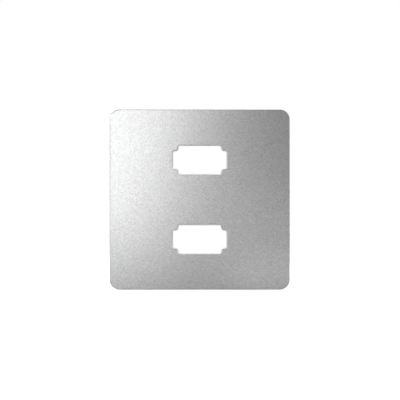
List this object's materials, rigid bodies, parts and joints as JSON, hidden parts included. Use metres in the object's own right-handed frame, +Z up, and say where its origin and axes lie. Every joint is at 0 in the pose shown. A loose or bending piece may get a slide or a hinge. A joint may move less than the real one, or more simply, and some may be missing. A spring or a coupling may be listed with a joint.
{
  "type": "usb socket cover plate",
  "caption": "Square moulded cover plate for a USB wall socket: silver lacquered face with rounded corners, notched port openings, a skirt round the back and snap legs.",
  "frame": {"origin": "centre of the rear rim, in the plane that seats on the mounting frame", "axes": "+X to the right and +Z up as seen from the front, +Y into the wall; the face looks along -Y"},
  "size_m": [0.055, 0.013, 0.055],
  "materials": {
    "silver_lacquer": "satin silver metallic lacquer on face and skirt, bare light grey moulding behind"
  },
  "bodies": {
    "root": {"cover_plate": "silver_lacquer"}
  },
  "joints": []
}
